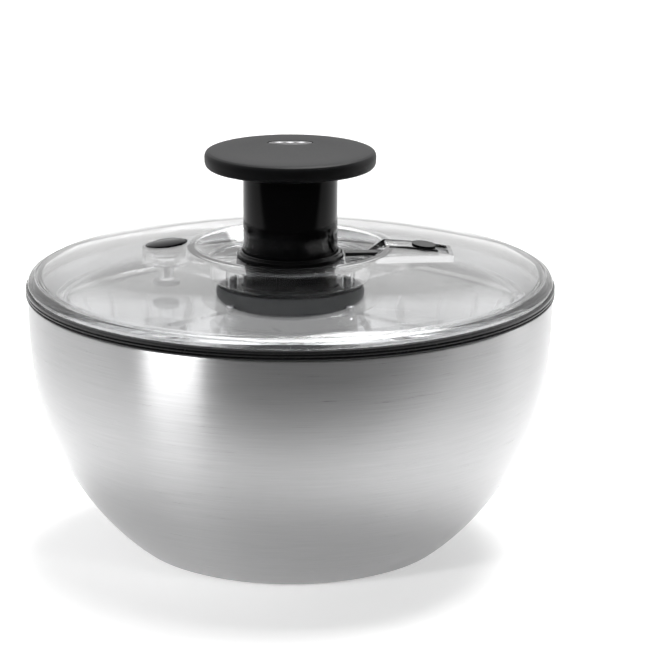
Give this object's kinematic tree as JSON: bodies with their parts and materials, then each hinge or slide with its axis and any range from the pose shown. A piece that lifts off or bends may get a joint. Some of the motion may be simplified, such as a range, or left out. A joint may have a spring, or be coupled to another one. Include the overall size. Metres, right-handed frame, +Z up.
{
  "type": "salad spinner",
  "caption": "Press-knob salad spinner: brushed steel bowl, clear slotted basket and clear lid with a spiral pump drive, brake button and knob lock.",
  "frame": {"origin": "centre of the base, on the plane that the object stands on", "axes": "+Z up along the bowl's axis, front at -Y; the brake button is to -X and the knob lock to +X"},
  "size_m": [0.27, 0.27, 0.2055],
  "materials": {
    "steel_bowl": "fine circumferential brushing",
    "silicone_ring": "matt",
    "black_seal": "satin",
    "brake_rubber": "matt",
    "clear_lid": "clear, polished",
    "clear_basket": "clear",
    "clear_plate": "clear",
    "clear_slider": "clear",
    "gloss_black": "polished",
    "soft_black": "soft-touch",
    "housing_black": "satin",
    "grey_hub": "translucent grey",
    "white_acetal": "smooth",
    "emblem_grey": "satin",
    "screw_steel": "plated",
    "spring_steel": "drawn wire"
  },
  "bodies": {
    "bowl": {"bowl": "steel_bowl", "base_ring": "silicone_ring"},
    "basket_pivot": {"basket_bush": "white_acetal"},
    "basket": {"basket": "clear_basket"},
    "lid": {"lid_shell": "clear_lid", "lid_gasket": "black_seal", "knob_collar": "gloss_black", "retaining_ring": "housing_black", "mechanism_housing": "housing_black", "housing_screw_1": "screw_steel", "housing_screw_2": "screw_steel", "housing_screw_3": "screw_steel", "spring_washer": "screw_steel", "return_spring": "spring_steel", "brake_spring": "spring_steel"},
    "knob": {"knob_cap": "soft_black", "knob_emblem": "emblem_grey", "knob_base": "housing_black", "plunger_tube": "gloss_black", "knob_screw": "screw_steel", "drive_nut": "white_acetal"},
    "spiral": {"spiral_post": "white_acetal", "pawl_carrier": "white_acetal", "hub_washer": "screw_steel", "axle_screw": "screw_steel"},
    "drive": {"drive_hub": "grey_hub", "ratchet_ring": "white_acetal", "hub_bush": "white_acetal", "hub_cap": "grey_hub", "drive_plate": "clear_plate", "plate_screw_1": "screw_steel", "plate_screw_2": "screw_steel", "plate_screw_3": "screw_steel", "plate_screw_4": "screw_steel"},
    "brake": {"brake_button": "gloss_black", "brake_stem": "white_acetal", "brake_pad": "brake_rubber"},
    "lock": {"lock_slider": "clear_slider", "lock_pad": "gloss_black"}
  },
  "joints": [
    {"name": "lid_lift", "type": "slide", "parent": "bowl", "child": "lid", "axis": [0, 0, 1], "range_m": [0, 0.3]},
    {"name": "basket_lift", "type": "slide", "parent": "bowl", "child": "basket_pivot", "axis": [0, 0, 1], "range_m": [0, 0.15]},
    {"name": "basket_spin", "type": "hinge", "parent": "basket_pivot", "child": "basket", "pos_m": [0, 0, 0.0128], "axis": [0, 0, 1], "continuous": true},
    {"name": "drive_spin", "type": "hinge", "parent": "lid", "child": "drive", "pos_m": [0, 0, 0.1266], "axis": [0, 0, 1], "continuous": true},
    {"name": "knob_press", "type": "slide", "parent": "lid", "child": "knob", "axis": [0, 0, -1], "range_m": [0, 0.04], "stiffness_N_per_m": 120, "springref_m": -0.03, "deforming": ["return_spring"]},
    {"name": "post_spin", "type": "hinge", "parent": "lid", "child": "spiral", "pos_m": [0, 0, 0.092], "axis": [0, 0, 1], "range_deg": [0, 288.5]},
    {"name": "brake_press", "type": "slide", "parent": "lid", "child": "brake", "axis": [0, 0, -1], "range_m": [0, 0.004], "stiffness_N_per_m": 300, "springref_m": -0.003, "deforming": ["brake_spring"]},
    {"name": "lock_slide", "type": "slide", "parent": "lid", "child": "lock", "axis": [-0.9986, -0.0523, 0], "range_m": [0, 0.005]}
  ],
  "couplings": [
    {"joint": "basket_lift", "follows": "lid_lift", "ratio": 0.5},
    {"joint": "drive_spin", "follows": "basket_spin", "ratio": 1},
    {"joint": "post_spin", "follows": "knob_press", "rad_per_m": 125.66}
  ]
}
